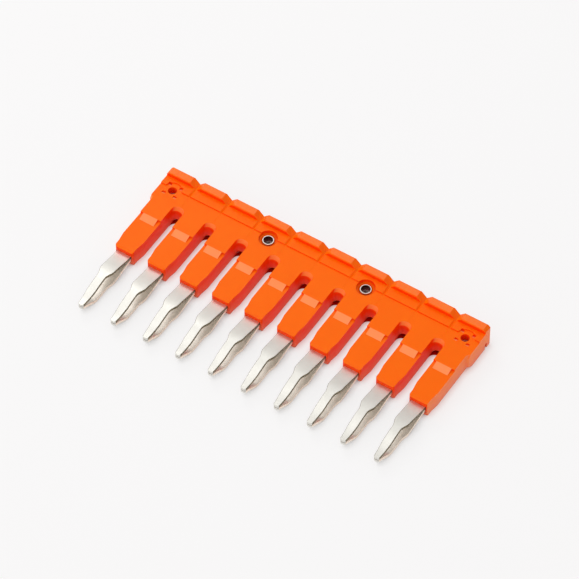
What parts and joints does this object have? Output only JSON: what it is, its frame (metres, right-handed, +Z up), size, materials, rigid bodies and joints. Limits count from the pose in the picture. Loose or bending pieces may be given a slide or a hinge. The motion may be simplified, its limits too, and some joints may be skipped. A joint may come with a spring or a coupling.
{
  "type": "terminal block jumper bar",
  "caption": "Plug-in jumper bar for rail terminals: an orange insulating comb with sprung double-leaf contact prongs, which bridges a row of terminal blocks.",
  "frame": {"origin": "on the resting plane, under the middle of the part's bounding box", "axes": "+X along the row of poles, prongs point to -Y, +Z up from the resting plane"},
  "size_m": [0.05, 0.0248, 0.0039],
  "materials": {
    "orange_polyamide": "satin moulded surface",
    "tin_plated_copper": "soft tin plating"
  },
  "bodies": {
    "root": {"housing": "orange_polyamide", "upper_contact_comb": "tin_plated_copper", "lower_contact_comb": "tin_plated_copper"}
  },
  "joints": []
}
